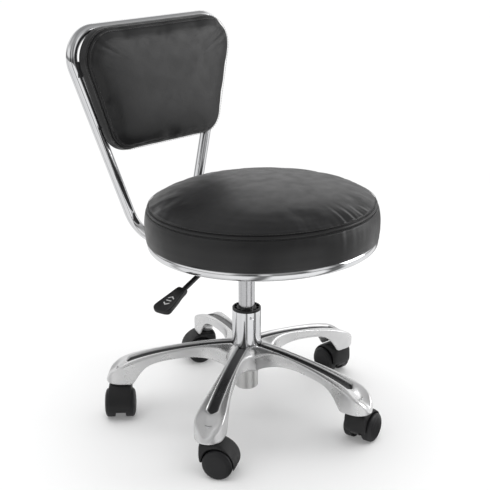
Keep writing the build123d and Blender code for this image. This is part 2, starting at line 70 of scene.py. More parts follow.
# --- small tools --------------------------------------------------------------------
def smooth_curve(points):
    """Natural cubic spline through (x, y) points, as a function of x."""
    x = np.array([p[0] for p in points], float)
    y = np.array([p[1] for p in points], float)
    gap = np.diff(x)
    slope = np.diff(y) / gap
    size = len(x)
    matrix = np.eye(size)
    right = np.zeros(size)
    for i in range(1, size - 1):
        matrix[i, i - 1] = gap[i - 1]
        matrix[i, i] = 2 * (gap[i - 1] + gap[i])
        matrix[i, i + 1] = gap[i]
        right[i] = 6 * (slope[i] - slope[i - 1])
    bend = np.linalg.solve(matrix, right)

    def value(at):
        i = int(np.clip(np.searchsorted(x, at) - 1, 0, size - 2))
        a, b, h = x[i + 1] - at, at - x[i], gap[i]
        return float((bend[i] * a ** 3 + bend[i + 1] * b ** 3) / (6 * h)
                     + (y[i] / h - bend[i] * h / 6) * a
                     + (y[i + 1] / h - bend[i + 1] * h / 6) * b)

    return value


def along(points, spacing):
    """Points along a smooth line through the given (x, y) points; spacing gives each step."""
    points = [Vector(p) for p in points]
    travel = [0.0]
    for a, b in zip(points, points[1:]):
        travel.append(travel[-1] + (b - a).length)
    xs = smooth_curve([(t, p[0]) for t, p in zip(travel, points)])
    ys = smooth_curve([(t, p[1]) for t, p in zip(travel, points)])
    at, rows = 0.0, []
    while at < travel[-1]:
        rows.append((at, xs(at), ys(at)))
        at += spacing(at)
    rows.append((travel[-1], xs(travel[-1]), ys(travel[-1])))
    return rows


def bell(x, width):
    return math.exp(-(x / width) ** 2)


def ease(x):
    x = min(1.0, max(0.0, x))
    return x * x * (3 - 2 * x)


def new_object(name, verts, faces, place=None, smooth=True):
    """Object from vertices in millimetres, moved by place (also in millimetres)."""
    if place is not None:
        verts = [place @ Vector(v) for v in verts]
    mesh = bpy.data.meshes.new(name)
    mesh.from_pydata([tuple(c * MM for c in v) for v in verts], [], faces)
    mesh.validate()
    tidy_mesh(mesh, smooth)
    piece = bpy.data.objects.new(name, mesh)
    bpy.context.scene.collection.objects.link(piece)
    return piece


def tidy_mesh(mesh, smooth=True):
    """Joins coincident vertices, turns the faces outward and shades them."""
    bm = bmesh.new()
    bm.from_mesh(mesh)
    bmesh.ops.remove_doubles(bm, verts=bm.verts, dist=0.02 * MM)
    bmesh.ops.recalc_face_normals(bm, faces=bm.faces)
    for face in bm.faces:
        face.smooth = smooth
    bm.to_mesh(mesh)
    bm.free()


def freeze(piece):
    """Applies every modifier on a piece."""
    graph = bpy.context.evaluated_depsgraph_get()
    mesh = bpy.data.meshes.new_from_object(piece.evaluated_get(graph))
    piece.modifiers.clear()
    piece.data = mesh
    mesh.name = piece.name


def subdivided(piece, levels):
    modifier = piece.modifiers.new("Subdivision", "SUBSURF")
    modifier.levels = levels
    modifier.render_levels = levels
    freeze(piece)
    return piece


def finish_piece(piece, material, body, replaced=()):
    piece.data.materials.clear()
    piece.data.materials.append(material)
    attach(piece, body)
    if replaced:
        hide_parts(*replaced)
    return piece


def strip(rings, closed=True):
    """Quads between neighbouring rings of vertex numbers."""
    faces = []
    for low, high in zip(rings, rings[1:]):
        count = len(low)
        for i in range(count if closed else count - 1):
            j = (i + 1) % count
            faces.append((low[i], low[j], high[j], high[i]))
    return faces


def lathe(name, profile, segments, place=None):
    """Closed solid of revolution about local Z from (radius, height) points in millimetres."""
    verts, rings = [], []
    for radius, height in profile:
        ring = []
        for k in range(segments):
            angle = 2 * math.pi * k / segments
            ring.append(len(verts))
            verts.append((radius * math.cos(angle), radius * math.sin(angle), height))
        rings.append(ring)
    return new_object(name, verts, strip(rings + [rings[0]]), place)


# --- materials ----------------------------------------------------------------------
class Nodes:
    """A shader node tree and the ways this script wires it."""

    def __init__(self, tree):
        self.tree = tree
        self.tree.nodes.clear()

    def add(self, kind, **settings):
        node = self.tree.nodes.new(kind)
        for key, value in settings.items():
            setattr(node, key, value)
        return node

    def join(self, output, socket):
        self.tree.links.new(output, socket)

    def ranged(self, value, low, high, to_low, to_high):
        node = self.add("ShaderNodeMapRange")
        for socket, number in zip(node.inputs[1:5], (low, high, to_low, to_high)):
            socket.default_value = number
        self.join(value, node.inputs[0])
        return node.outputs[0]

    def mixed(self, factor, a, b, blend="MIX"):
        """Mix of two colours, each a socket or red, green and blue, by a socket's value."""
        node = self.add("ShaderNodeMix", data_type="RGBA", blend_type=blend)
        self.join(factor, node.inputs["Factor"])
        for name, value in (("A", a), ("B", b)):
            if isinstance(value, tuple):
                node.inputs[name].default_value = (*value, 1)
            else:
                self.join(value, node.inputs[name])
        return node.outputs["Result"]

    def vector_math(self, operation, vector):
        node = self.add("ShaderNodeVectorMath", operation=operation)
        self.join(vector, node.inputs[0])
        return node

    def axes(self, vector):
        node = self.add("ShaderNodeSeparateXYZ")
        self.join(vector, node.inputs[0])
        return node.outputs

    def bands(self, axes, levels):
        """Grey by bearing: levels are (share, grey), from 0 at -180 degrees to 1 at 180 degrees."""
        bearing = self.add("ShaderNodeMath", operation="ARCTAN2")
        self.join(axes["Y"], bearing.inputs[0])
        self.join(axes["X"], bearing.inputs[1])
        ramp = self.add("ShaderNodeValToRGB")
        elements = ramp.color_ramp.elements
        while len(elements) < len(levels):
            elements.new(0.5)
        for element, (at, level) in zip(elements, levels):
            element.position = at
            element.color = (level, level, level, 1)
        self.join(self.ranged(bearing.outputs[0], -math.pi, math.pi, 0, 1), ramp.inputs[0])
        return ramp.outputs["Color"]


class Finish(Nodes):
    """A procedural material. Textures are laid in the object's own frame, in metres."""

    def __init__(self, name, metallic=0.0, specular=0.5, sheen=0.0):
        self.material = bpy.data.materials.new(name)
        self.material.use_nodes = True
        super().__init__(self.material.node_tree)
        self.shader = self.add("ShaderNodeBsdfPrincipled")
        self.shader.inputs["Metallic"].default_value = metallic
        self.shader.inputs["Specular IOR Level"].default_value = specular
        self.shader.inputs["Sheen Weight"].default_value = sheen
        self.output = self.add("ShaderNodeOutputMaterial")
        self.join(self.shader.outputs["BSDF"], self.output.inputs["Surface"])
        self.place = self.add("ShaderNodeTexCoord").outputs["Object"]
        self.normal = None

    def stretched(self, x, y, z):
        mapping = self.add("ShaderNodeMapping")
        mapping.inputs["Scale"].default_value = (x, y, z)
        self.join(self.place, mapping.inputs["Vector"])
        return mapping.outputs["Vector"]

    def noise(self, scale, detail=3.0, vector=None):
        node = self.add("ShaderNodeTexNoise")
        node.inputs["Scale"].default_value = scale
        node.inputs["Detail"].default_value = detail
        self.join(vector or self.place, node.inputs["Vector"])
        return node.outputs["Fac"]

    def cells(self, scale, feature, warp=0.0):
        """Voronoi cells, their edges wandering by warp metres."""
        vector = self.place
        if warp:
            stir = self.add("ShaderNodeTexNoise")
            stir.inputs["Scale"].default_value = scale * 0.6
            self.join(self.place, stir.inputs["Vector"])
            move = self.vector_math("MULTIPLY_ADD", stir.outputs["Color"])
            move.inputs[1].default_value = (warp, warp, warp)
            self.join(self.place, move.inputs[2])
            vector = move.outputs["Vector"]
        node = self.add("ShaderNodeTexVoronoi", feature=feature)
        node.inputs["Scale"].default_value = scale
        self.join(vector, node.inputs["Vector"])
        return node.outputs["Distance"]

    def times(self, a, b):
        node = self.add("ShaderNodeMath", operation="MULTIPLY")
        self.join(a, node.inputs[0])
        self.join(b, node.inputs[1])
        return node.outputs[0]

    def edges(self, low, high):
        """1 on convex edges, where handling rubs a surface."""
        geometry = self.add("ShaderNodeNewGeometry")
        return self.ranged(geometry.outputs["Pointiness"], low, high, 0, 1)

    def colour(self, output):
        self.join(output, self.shader.inputs["Base Color"])

    def rough(self, output):
        self.join(output, self.shader.inputs["Roughness"])

    def bump(self, height, depth, strength=1.0):
        """Adds relief, depth metres deep, over what is there."""
        node = self.add("ShaderNodeBump")
        node.inputs["Strength"].default_value = strength
        node.inputs["Distance"].default_value = depth
        self.join(height, node.inputs["Height"])
        if self.normal is not None:
            self.join(self.normal, node.inputs["Normal"])
        self.normal = node.outputs["Normal"]
        self.join(self.normal, self.shader.inputs["Normal"])


def chrome_finish():
    finish = Finish("chrome_plate", metallic=1.0)
    haze = finish.noise(14, 5)
    finish.colour(finish.mixed(finish.ranged(haze, 0.35, 0.7, 0, 1), (0.90, 0.90, 0.91), (0.84, 0.85, 0.87)))
    finish.rough(finish.ranged(haze, 0.3, 0.75, 0.035, 0.10))
    finish.bump(finish.noise(900, 2), 0.00001, 0.3)
    return finish.material


# Punch marks under the tube's mouth: bearing in degrees and drop in metres
CRIMPS = ((-119, 0.0088), (-106, 0.0100))


def column_finish():
    """Chrome above the hub, satin zinc on the tube's lower end."""
    finish = Finish("column_plate", metallic=1.0)
    hub_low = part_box("base_star")[0].z
    foot = finish.ranged(finish.axes(finish.place)["Z"], hub_low + 0.030, hub_low + 0.034, 1, 0)
    haze = finish.noise(30, 5)
    plate = finish.mixed(finish.ranged(haze, 0.35, 0.7, 0, 1), (0.90, 0.90, 0.91), (0.83, 0.84, 0.86))
    finish.colour(finish.mixed(foot, plate, (0.80, 0.80, 0.79)))
    mirror = finish.ranged(haze, 0.3, 0.75, 0.035, 0.10)
    satin = finish.ranged(haze, 0.3, 0.75, 0.34, 0.46)
    mix = finish.add("ShaderNodeMix", data_type="FLOAT")
    finish.join(foot, mix.inputs[0])
    finish.join(mirror, mix.inputs[2])
    finish.join(satin, mix.inputs[3])
    finish.rough(mix.outputs[0])
    rings = finish.noise(1.0, 3, finish.stretched(6, 6, 2500))
    finish.bump(finish.times(rings, foot), 0.00003, 0.5)
    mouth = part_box("gas_outer_tube")[1]
    for bearing, drop in CRIMPS:
        turn = math.radians(bearing)
        spot = finish.vector_math("DISTANCE", finish.place)
        spot.inputs[1].default_value = (mouth.x * math.cos(turn), mouth.x * math.sin(turn), mouth.z - drop)
        finish.bump(finish.ranged(spot.outputs["Value"], 0, 0.0022, 0, 1), 0.0014, 1.0)
    return finish.material


def casting_finish():
    finish = Finish("cast_aluminium_polish", metallic=0.76)
    cloud = finish.noise(22, 5)
    tone = finish.mixed(finish.ranged(cloud, 0.3, 0.72, 0, 1), (0.86, 0.86, 0.86), (0.78, 0.78, 0.785))
    tone = finish.mixed(finish.edges(0.52, 0.60), tone, (0.92, 0.92, 0.92))
    # The channel floors are darkened to near black in the colour: painted shade in the recesses, not a different
    # finish.
    channel = finish.add("ShaderNodeAttribute", attribute_name="channel").outputs["Fac"]
    finish.colour(finish.mixed(channel, tone, (0.10, 0.10, 0.103)))
    finish.rough(finish.ranged(cloud, 0.3, 0.75, 0.24, 0.34))
    finish.bump(finish.noise(160, 4), 0.00010, 0.5)
    finish.bump(finish.noise(1.0, 2, finish.stretched(240, 2400, 900)), 0.00002, 0.4)
    return finish.material


def steel_finish():
    finish = Finish("ground_steel", metallic=1.0)
    lay = finish.noise(1.0, 4, finish.stretched(30, 30, 1800))
    finish.colour(finish.mixed(lay, (0.58, 0.58, 0.60), (0.72, 0.72, 0.73)))
    finish.rough(finish.ranged(lay, 0.3, 0.7, 0.16, 0.30))
    finish.bump(lay, 0.00002, 0.5)
    return finish.material


def zinc_finish():
    finish = Finish("zinc_plate", metallic=1.0)
    spangle = finish.cells(240, "F1")
    finish.colour(finish.mixed(finish.ranged(spangle, 0.1, 0.8, 0, 1), (0.60, 0.61, 0.63), (0.75, 0.75, 0.74)))
    finish.rough(finish.ranged(finish.noise(60), 0.3, 0.7, 0.26, 0.42))
    finish.bump(finish.noise(900), 0.00004, 0.4)
    return finish.material


def powder_finish():
    finish = Finish("black_powder_coat", specular=0.5)
    peel = finish.noise(1300, 2)
    tone = finish.mixed(finish.noise(35), (0.014, 0.014, 0.015), (0.026, 0.026, 0.027))
    finish.colour(finish.mixed(finish.edges(0.56, 0.66), tone, (0.075, 0.075, 0.078)))
    finish.rough(finish.ranged(finish.noise(80), 0.3, 0.7, 0.34, 0.50))
    finish.bump(peel, 0.00008, 0.5)
    return finish.material


def nylon_finish(name, base, low, high):
    """Moulded nylon: spark-eroded grain, lighter where corners are rubbed."""
    finish = Finish(name, specular=0.36)
    tone = finish.mixed(finish.noise(28, 4), base, tuple(c * 1.5 for c in base))
    finish.colour(finish.mixed(finish.edges(0.54, 0.64), tone, tuple(c * 3.2 for c in base)))
    finish.rough(finish.ranged(finish.noise(120, 4), 0.3, 0.7, low, high))
    finish.bump(finish.noise(1900, 3), 0.00006, 0.45)
    finish.bump(finish.cells(700, "F1"), 0.00003, 0.25)
    return finish.material


def rubber_finish():
    finish = Finish("black_rubber", specular=0.35)
    finish.colour(finish.mixed(finish.noise(90), (0.018, 0.018, 0.018), (0.034, 0.033, 0.032)))
    finish.rough(finish.ranged(finish.noise(200), 0.3, 0.7, 0.62, 0.8))
    finish.bump(finish.noise(1500), 0.00008, 0.5)
    return finish.material


def plywood_finish():
    finish = Finish("plywood", specular=0.3)
    grain = finish.noise(1.0, 6, finish.stretched(18, 260, 260))
    plies = finish.add("ShaderNodeTexWave", bands_direction="Z")
    plies.inputs["Scale"].default_value = 160
    plies.inputs["Distortion"].default_value = 0.6
    finish.join(finish.place, plies.inputs["Vector"])
    wood = finish.mixed(finish.ranged(grain, 0.3, 0.7, 0, 1), (0.50, 0.34, 0.19), (0.72, 0.54, 0.35))
    finish.colour(finish.mixed(finish.ranged(plies.outputs["Fac"], 0.7, 1, 0, 0.35), wood, (0.36, 0.22, 0.12)))
    finish.rough(finish.ranged(grain, 0.3, 0.7, 0.55, 0.75))
    finish.bump(grain, 0.0002, 0.5)
    return finish.material


def foam_finish():
    finish = Finish("polyurethane_foam", specular=0.2)
    pores = finish.cells(650, "F1", 0.0006)
    finish.colour(finish.mixed(finish.ranged(pores, 0.05, 0.6, 0, 1), (0.62, 0.55, 0.36), (0.86, 0.80, 0.60)))
    finish.rough(finish.ranged(pores, 0, 0.6, 0.95, 0.8))
    finish.bump(pores, 0.0006, 0.7)
    return finish.material


def vinyl_finish():
    """Soft black upholstery vinyl: a shallow leather grain under a satin topcoat."""
    finish = Finish("black_vinyl", specular=0.5, sheen=0.04)
    cloud = finish.noise(9, 5)
    tone = finish.mixed(finish.ranged(cloud, 0.3, 0.7, 0, 1), (0.007, 0.007, 0.0075), (0.012, 0.012, 0.0125))
    pebble = finish.cells(820, "DISTANCE_TO_EDGE", 0.0006)
    # The grain's creases are darkened in the colour: painted shade.
    painted_crease_shade = finish.ranged(pebble, 0, 0.12, 1, 0)
    finish.colour(finish.mixed(finish.ranged(painted_crease_shade, 0, 1, 0, 0.5), tone, (0.005, 0.005, 0.0055)))
    polish = finish.ranged(finish.noise(45, 4), 0.3, 0.7, 0.30, 0.42)
    finish.rough(polish)
    finish.bump(finish.ranged(pebble, 0, 0.30, 0, 1), 0.00007, 0.55)
    finish.bump(finish.noise(2600, 2), 0.00002, 0.4)
    return finish.material


def thread_finish():
    finish = Finish("black_thread", specular=0.4, sheen=0.3)
    twist = finish.noise(3200, 2)
    finish.colour(finish.mixed(twist, (0.008, 0.008, 0.008), (0.03, 0.03, 0.03)))
    finish.rough(finish.ranged(twist, 0.3, 0.7, 0.45, 0.7))
    finish.bump(twist, 0.0001, 0.6)
    return finish.material


def cloth_finish():
    """Spun-bonded dust cloth: crossing fibres with pressed dots."""
    finish = Finish("black_dust_cloth", specular=0.25, sheen=0.25)
    fibres = finish.noise(1.0, 6, finish.stretched(500, 2600, 900))
    dots = finish.cells(520, "F1")
    finish.colour(finish.mixed(fibres, (0.012, 0.012, 0.012), (0.035, 0.035, 0.036)))
    finish.rough(finish.ranged(fibres, 0.3, 0.7, 0.75, 0.95))
    finish.bump(fibres, 0.0001, 0.6)
    finish.bump(finish.ranged(dots, 0, 0.25, 0, 1), 0.00008, 0.5)
    return finish.material


def paint_finish():
    """Pale ink of the marks pressed on the lever's paddle."""
    finish = Finish("pale_ink", specular=0.4)
    wear = finish.noise(900, 4)
    finish.colour(finish.mixed(finish.ranged(wear, 0.35, 0.6, 0, 1), (0.45, 0.45, 0.45), (0.72, 0.72, 0.72)))
    finish.rough(finish.ranged(wear, 0.3, 0.7, 0.4, 0.6))
    finish.bump(wear, 0.00005, 0.4)
    return finish.material


FINISHES = {
    "cast_aluminium": casting_finish(),
    "chrome": chrome_finish(),
    "bright_steel": steel_finish(),
    "zinc_steel": zinc_finish(),
    "black_steel": powder_finish(),
    "black_nylon": nylon_finish("black_nylon_mould", (0.011, 0.011, 0.0115), 0.30, 0.42),
    "caster_nylon": nylon_finish("caster_nylon_mould", (0.012, 0.012, 0.0125), 0.36, 0.50),
    "wheel_nylon": nylon_finish("wheel_nylon_mould", (0.012, 0.012, 0.013), 0.34, 0.46),
    "rubber": rubber_finish(),
    "plywood": plywood_finish(),
    "foam": foam_finish(),
    "vinyl": vinyl_finish(),
    "black_cloth": cloth_finish(),
}

for node in frame["nodes"].values():
    for held in node.material_slots:
        held.material = FINISHES[held.material.name.split(".")[0]]
frame["nodes"]["gas_outer_tube"].material_slots[0].material = column_finish()


# --- places taken from the frame --------------------------------------------------------
TUBE_R = 9.5                 # seat ring and back frame tube
BOARD_T = 9.0                # backrest board


def seat_place():
    """Seat ring's centre and rake."""
    low, high = (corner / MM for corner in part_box("seat_ring"))
    radius = (high.x - low.x) / 2 - TUBE_R
    rake = math.asin(((high.z - low.z) / 2 - TUBE_R) / radius)
    return Matrix.Translation((low + high) / 2) @ Matrix.Rotation(-rake, 4, "X")


def back_place():
    """Backrest board's centre and lean: local X across, Y up and Z forward."""
    low, high = (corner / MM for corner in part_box("backrest_board"))
    deep, tall = high.y - low.y, high.z - low.z
    lean = 0.0
    for _ in range(20):
        height = (tall - BOARD_T * math.sin(lean)) / math.cos(lean)
        lean = math.asin((deep - BOARD_T * math.cos(lean)) / height)
    turn = Matrix(((1, 0, 0), (0, math.sin(lean), -math.cos(lean)),
                   (0, math.cos(lean), math.sin(lean)))).to_4x4()
    return Matrix.Translation((low + high) / 2) @ turn, (high.x - low.x) / 2, height / 2


SEAT = seat_place()
BACK, BOARD_HALF, BOARD_UP = back_place()


def arm_place(k):
    """Caster stem's bearing in radians and its distance from the column."""
    x, y, _ = JOINTS[f"caster_{k}_swivel"]["pos_m"]
    return math.atan2(y, x), math.hypot(x, y) / MM


ARM_COUNT = 5
REACH = arm_place(1)[1]


# --- cast base ----------------------------------------------------------------------
# Local frame of one arm: x outwards from the column, y across, z up.
COLUMN_R = 25.15
SHOE_R = 24.5
RIM = 6.0                    # width of the rim round the shoe
SKIN = 3.4                   # wall of the casting
SHOE_LOW = 60.0              # lower edge of the shoe
FLANK_END = 199.0            # where the arm's lower edge meets the shoe
TIP = 246.5                  # farthest point of the crest line in use
CHANNEL_DEPTH = 5.0
CHANNEL_END = 213.0
CHANNEL_HALF = 9.5
CREST = smooth_curve([(20, 131), (75, 127), (120, 121), (162, 113), (198, 103), (218, 94.5), (234, 84),
                      (243, 72), (247, 60.5)])
UNDER = smooth_curve([(34, 92), (52, 99), (75, 104), (101, 106), (134, 102.7), (162, 98.5), (178, 91),
                      (190, 76), (199, 60)])
HALF = smooth_curve([(36.8, 26.7), (41, 24.6), (45, 22.4), (52.5, 18.6), (62, 15.4), (75, 13.1),
                     (105, 13.4), (145, 16.2), (185, 21.4), (207, 24.0), (REACH, SHOE_R)])
# Rows across an arm's top, outwards: centre x, edge x, half width and outline x
CHANNEL_ROWS = [(25.3, 24.0, 7.6, 52.5), (36, 36, 7.7, 62), (52, 52, 7.8, 75), (76, 76, 7.9, 92),
                (104, 104, 8.1, 112), (132, 132, 8.3, 135), (158, 157, 8.6, 158), (180, 176, 8.9, 176.5),
                (197, 190, 9.1, 190), (207, 198.5, 9.4, 198), (211, 202.5, 9.8, 202)]
# The same over the shoe, with depth and bowl (0 for the channel's shape, 1 for a dish) before the outline
SHOE_ROWS = [(213.5, 205.5, 10.9, 0.4, 0.2, 205.5), (220, 212, 14.4, 2.9, 1, 212),
             (228, 220, 17.8, 5.2, 1, 219.5), (235, 227, 18.5, 5.4, 1, None), (240.5, 233, 18.5, 3.4, 1, None),
             (243.6, 237, 18.5, 1.0, 1, None)]
ARM_ROWS = [(*row[:3], CHANNEL_DEPTH, 0, row[3]) for row in CHANNEL_ROWS] + SHOE_ROWS
ACROSS = (-1, -0.87, -0.45, 0, 0.45, 0.87, 1)
BOWL_ACROSS = (-1, -0.68, -0.34, 0, 0.34, 0.68, 1)
CHANNEL_SHAPE = (0, 1, 1, 1, 1, 1, 0)
BOWL_SHAPE = (0, 0.42, 0.85, 1, 0.85, 0.42, 0)
# Points round the hub between the channel and the web: angle at the tube, outline x, web share
HUB_POINTS = [(36.0, 36.8, 1.0), (30.0, 41.0, 0.8), (24.0, 45.5, 0.45)]


def sunk(x, y, depth):
    """Point on the arm's top, sunk along the top's normal."""
    slope = CREST(x + 0.5) - CREST(x - 0.5)
    size = math.hypot(1, slope)
    return (x + depth * slope / size, y, CREST(x) - depth / size)


def shoe_point(radius, x):
    """Point of the given radius about the stem axis whose bearing has that x on the inner rim."""
    turn = math.asin(min(1.0, max(0.0, (x - REACH) / (SHOE_R - RIM))))
    return REACH + radius * math.sin(turn), radius * math.cos(turn), turn


def arm_inner(extra):
    """Grid of points over the arm's top between its rails, pushed down by extra."""
    grid = []
    for centre, edge, half, depth, bowl, _ in ARM_ROWS:
        row = []
        for narrow, wide, flat, round_ in zip(ACROSS, BOWL_ACROSS, CHANNEL_SHAPE, BOWL_SHAPE):
            share = narrow * (1 - bowl) + wide * bowl
            y = share * half
            x = centre + (edge - centre) * abs(share)
            if centre < 26:
                x = math.sqrt(COLUMN_R ** 2 - y ** 2)
            if edge > REACH:
                limit = shoe_point(SHOE_R - RIM, edge)
                y = share * limit[1]
                x = centre + (limit[0] - centre) * abs(share) ** 2
            sink = depth * (flat * (1 - bowl) + round_ * bowl)
            if extra:
                sink = max(sink, depth * 0.8) + extra
            row.append(sunk(x, y, sink))
        grid.append(row)
    return grid


def rail_section(inner, outline_x, edge_x, web):
    """Points from an inner edge over the rail and down the arm's side, for the side with y > 0."""
    x0, y0 = inner
    if outline_x is None:
        x1, y1, turn = shoe_point(SHOE_R, edge_x)
    else:
        x1, y1, turn = outline_x, HALF(outline_x), 0.0
    crest = 0.5 * (1 - web)
    low = UNDER(x1) if x1 < FLANK_END else SHOE_LOW
    shares = ((0.30, crest), (0.70, crest * 0.6 - 5.5 * web), (0.93, -1.2 - 6.5 * web))
    points = []
    for share, lift in shares:
        x = x0 + (x1 - x0) * share
        y = y0 + (y1 - y0) * share
        drop = 5.5 * web * share
        points.append((x, y, CREST(min(x, TIP)) + lift * math.cos(turn) - drop * 0.3))
    top = CREST(min(x1, TIP)) - (3.2 + 10.0 * web) * math.cos(turn) ** 2
    top = max(top, low + 2.4)
    waist = 0.9 if outline_x is not None and x1 < 172 else 0.0
    sx, sy = math.sin(turn), math.cos(turn)
    points += [(x1, y1, top),
               (x1 - waist * sx, y1 - waist * sy, top - (top - low) * 0.28),
               (x1 - waist * sx, y1 - waist * sy, low + (top - low) * 0.30),
               (x1, y1, low + 0.9), (x1 - 0.9 * sx, y1 - 0.9 * sy, low)]
    inside = [(x1 - (SKIN - 0.4) * sx, y1 - (SKIN - 0.4) * sy, low),
              (x1 - SKIN * sx, y1 - SKIN * sy, low + 1.2),
              (x1 - SKIN * sx, y1 - SKIN * sy, low + (top - low) * 0.45),
              (x1 - (SKIN + 0.8) * sx, y1 - (SKIN + 0.8) * sy, max(top - SKIN - 2.5, low + 4.5))]
    return points + inside


def arm_cage():
    """Control mesh of one arm with its share of the hub, open at the wedge planes."""
    verts, faces = [], []

    def keep(point):
        verts.append(point)
        return len(verts) - 1

    outer = [[keep(p) for p in row] for row in arm_inner(0)]
    inner = [[keep(p) for p in row] for row in arm_inner(SKIN)]
    faces += strip(outer, closed=False)
    faces += strip(inner, closed=False)
    # boundary of the top grid: left edge outwards, across the tip, right edge inwards
    last = len(ARM_ROWS) - 1
    border = [(r, 0) for r in range(last + 1)] + [(last, c) for c in range(1, len(ACROSS) - 1)]
    border += [(r, len(ACROSS) - 1) for r in range(last, -1, -1)]
    sections = []
    for side in (-1, 1):
        for degrees, outline_x, web in HUB_POINTS if side < 0 else HUB_POINTS[::-1]:
            angle = math.radians(degrees)
            x, y = COLUMN_R * math.cos(angle), COLUMN_R * math.sin(angle)
            sections.append((side, keep((x, side * y, CREST(25))), keep((x, side * y, 118)), outline_x, x, web))
        if side > 0:
            break
        for r, c in border:
            x, y, _ = verts[outer[r][c]]
            edge = ARM_ROWS[r][1]
            outline_x = ARM_ROWS[r][5]
            if r == last:
                outline_x = None
                edge = REACH + (SHOE_R - RIM) * math.sin(tip_turn(c))
            web = 0.2 if r == 0 else 0.06 if r == 1 else 0.0
            sections.append((-1 if y < 0 else 1, outer[r][c], inner[r][c], outline_x, edge, web))
    lines = []
    for side, top, under, outline_x, edge, web in sections:
        x, y, _ = verts[top]
        section = rail_section((x, abs(y)), outline_x, edge, web)
        lines.append([top] + [keep((px, side * py, pz)) for px, py, pz in section] + [under])
    faces += strip(lines, closed=False)
    tube_side = [line[0] for line in lines[:3]] + outer[0] + [line[0] for line in lines[-3:]]
    tube_under = [line[-1] for line in lines[:3]] + inner[0] + [line[-1] for line in lines[-3:]]
    faces += strip([tube_side, tube_under], closed=False)
    return verts, faces


def tip_turn(column):
    """Bearing about the stem axis of a column of the tip's row."""
    corner = math.asin((ARM_ROWS[-1][1] - REACH) / (SHOE_R - RIM))
    share = abs(BOWL_ACROSS[column])
    return math.pi / 2 - (math.pi / 2 - corner) * share


def paint_channel_shade(casting):
    """Writes 1 on the floors of the arms' channels, whose colour is then darkened to near black: painted shade in
    the recesses.
    """
    turns = [Matrix.Rotation(-arm_place(k)[0], 4, "Z") for k in range(1, ARM_COUNT + 1)]
    shade = casting.data.attributes.new("channel", "FLOAT", "POINT")
    for i, vertex in enumerate(casting.data.vertices):
        point = max((turn @ vertex.co / MM for turn in turns), key=lambda p: p.x)
        if 22 < point.x < CHANNEL_END and abs(point.y) < CHANNEL_HALF:
            sink = CREST(point.x) - point.z
            if sink < CHANNEL_DEPTH + 1.6:
                shade.data[i].value = ease((sink - 2.0) / 1.6)


def base_casting():
    cage, faces = arm_cage()
    verts, all_faces = [], []
    for k in range(1, ARM_COUNT + 1):
        turn = Matrix.Rotation(arm_place(k)[0], 4, "Z")
        start = len(verts)
        verts += [turn @ Vector(v) for v in cage]
        all_faces += [tuple(i + start for i in face) for face in faces]
    star = subdivided(new_object("base_casting", verts, all_faces), 2)
    skirt = lathe("hub_skirt", [(25.2, 84), (29, 84), (32, 85.5), (37, 93), (40.5, 102), (41.5, 112), (38, 119),
                                (30, 121), (25.2, 121)], 96)
    bosses = [star, skirt]
    for k in range(1, ARM_COUNT + 1):
        x, y, _ = (c / MM for c in JOINTS[f"caster_{k}_swivel"]["pos_m"])
        boss = [(7.6, 60.3), (10.2, 60.3), (10.8, 61), (11.6, 68), (12, 72), (7.6, 72)]
        bosses.append(lathe(f"boss_{k}", boss, 40, Matrix.Translation((x, y, 0))))
    joined = join("base_casting", bosses)
    paint_channel_shade(joined)
    return finish_piece(joined, FINISHES["cast_aluminium"], "base", ["base_star"])


def join(name, pieces):
    """One object from several, in the first one's place."""
    bm = bmesh.new()
    for piece in pieces:
        bm.from_mesh(piece.data)
        bpy.data.objects.remove(piece)
    mesh = bpy.data.meshes.new(name)
    bm.to_mesh(mesh)
    bm.free()
    joined = bpy.data.objects.new(name, mesh)
    bpy.context.scene.collection.objects.link(joined)
    return joined


base_casting()


# --- cloth simulation -----------------------------------------------------------------
def swelling(start, voxel, cap, still):
    """Inflates a remeshed copy of a closed form with Cloth; still(point) says which of its points
    are held. Returns how far the cloth near a point has moved, in millimetres."""
    copy = bpy.data.objects.new("cloth_copy", start.data.copy())
    bpy.context.scene.collection.objects.link(copy)
    remesh = copy.modifiers.new("Remesh", "REMESH")
    remesh.mode = "VOXEL"
    remesh.voxel_size = voxel * MM
    freeze(copy)
    before = np.array([v.co for v in copy.data.vertices]) / MM
    pins = copy.vertex_groups.new(name="pins")
    pins.add([i for i, p in enumerate(before) if still(Vector(p))], 1.0, "REPLACE")
    cloth = copy.modifiers.new("Cloth", "CLOTH")
    cloth.settings.quality = 6
    cloth.settings.mass = 0.25
    cloth.settings.use_pressure = True
    cloth.settings.uniform_pressure_force = 4.0
    cloth.settings.vertex_group_mass = "pins"
    cloth.settings.effector_weights.gravity = 0
    cloth.settings.shrink_min = -0.015
    frames = 20
    cloth.point_cache.frame_start = 1
    cloth.point_cache.frame_end = frames
    for step in range(1, frames + 1):
        bpy.context.scene.frame_set(step)
    graph = bpy.context.evaluated_depsgraph_get()
    moved = copy.evaluated_get(graph).to_mesh()
    after = np.array([v.co for v in moved.vertices]) / MM
    bpy.context.scene.frame_set(1)
    bpy.data.objects.remove(copy)
    travel = after - before
    length = np.linalg.norm(travel, axis=1, keepdims=True)
    travel *= np.minimum(1.0, cap / np.maximum(length, 1e-6))
    tree = KDTree(len(before))
    for i, point in enumerate(before):
        tree.insert(point, i)
    tree.balance()

    def near(point):
        found = tree.find_n(point, 9)
        weights = np.array([1 / (0.25 * voxel + f[2]) for f in found])
        picked = travel[[f[1] for f in found]]
        return Vector((picked * weights[:, None]).sum(0) / weights.sum())

    return near


def ring_faces(rings):
    """Faces between rings; a ring may have half as many vertices as the one before it."""
    faces = []
    for low, high in zip(rings, rings[1:]):
        if len(high) == len(low):
            faces += strip([low, high])
            continue
        count = len(high)
        for k in range(count):
            a, b, c = low[2 * k], low[2 * k + 1], low[(2 * k + 2) % len(low)]
            faces.append((a, b, c, high[(k + 1) % count], high[k]))
    return faces


